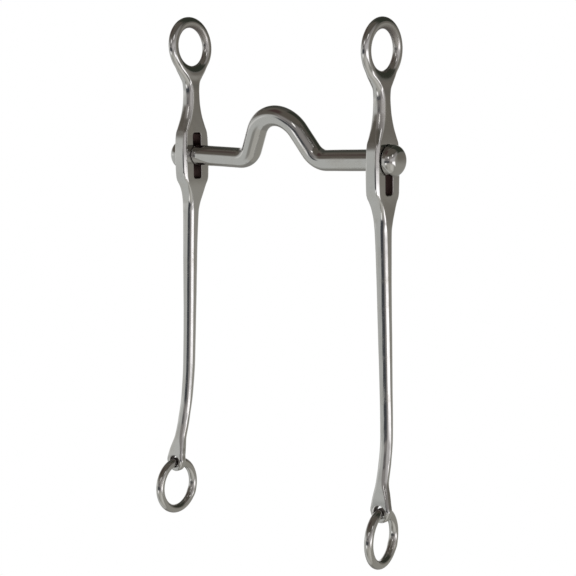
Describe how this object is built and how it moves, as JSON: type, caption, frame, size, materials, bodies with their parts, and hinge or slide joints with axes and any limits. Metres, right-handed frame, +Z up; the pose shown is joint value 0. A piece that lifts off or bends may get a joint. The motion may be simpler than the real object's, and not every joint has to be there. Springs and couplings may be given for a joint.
{
  "type": "curb bit",
  "caption": "Curb bit with a ported mouthpiece, slotted cheeks that slide on its tenons, purchase rings above and rein rings hanging in the shank eyes.",
  "frame": {"origin": "middle of the mouthpiece, on the axis of its two tenons", "axes": "+Z up along the cheeks, +X to the right cheek along the mouthpiece, -Y the side that the shanks sweep and the port leans to"},
  "size_m": [0.1608, 0.0449, 0.293],
  "materials": {
    "mouthpiece_steel": "polished stainless steel",
    "button_steel": "polished stainless steel",
    "cheek_steel": "polished stainless steel",
    "ring_steel": "polished stainless steel, lightly worn"
  },
  "bodies": {
    "mouthpiece": {"mouthpiece": "mouthpiece_steel", "left_button": "button_steel", "right_button": "button_steel"},
    "left_cheek": {"left_cheek": "cheek_steel"},
    "right_cheek": {"right_cheek": "cheek_steel"},
    "left_rein_ring": {"left_rein_ring": "ring_steel"},
    "right_rein_ring": {"right_rein_ring": "ring_steel"}
  },
  "joints": [
    {"name": "left_cheek_slide", "type": "slide", "parent": "mouthpiece", "child": "left_cheek", "axis": [0, 0, 1], "range_m": [-0.0073, 0.0081]},
    {"name": "right_cheek_slide", "type": "slide", "parent": "mouthpiece", "child": "right_cheek", "axis": [0, 0, 1], "range_m": [-0.0028, 0.0126]},
    {"name": "left_ring_swing", "type": "hinge", "parent": "left_cheek", "child": "left_rein_ring", "pos_m": [-0.0744, -0.0115, -0.17975], "axis": [-0.0175, 0.9998, 0], "range_deg": [-150, 150]},
    {"name": "right_ring_swing", "type": "hinge", "parent": "right_cheek", "child": "right_rein_ring", "pos_m": [0.0744, -0.0115, -0.18425], "axis": [-0.1392, 0.9903, 0], "range_deg": [-150, 150]}
  ]
}
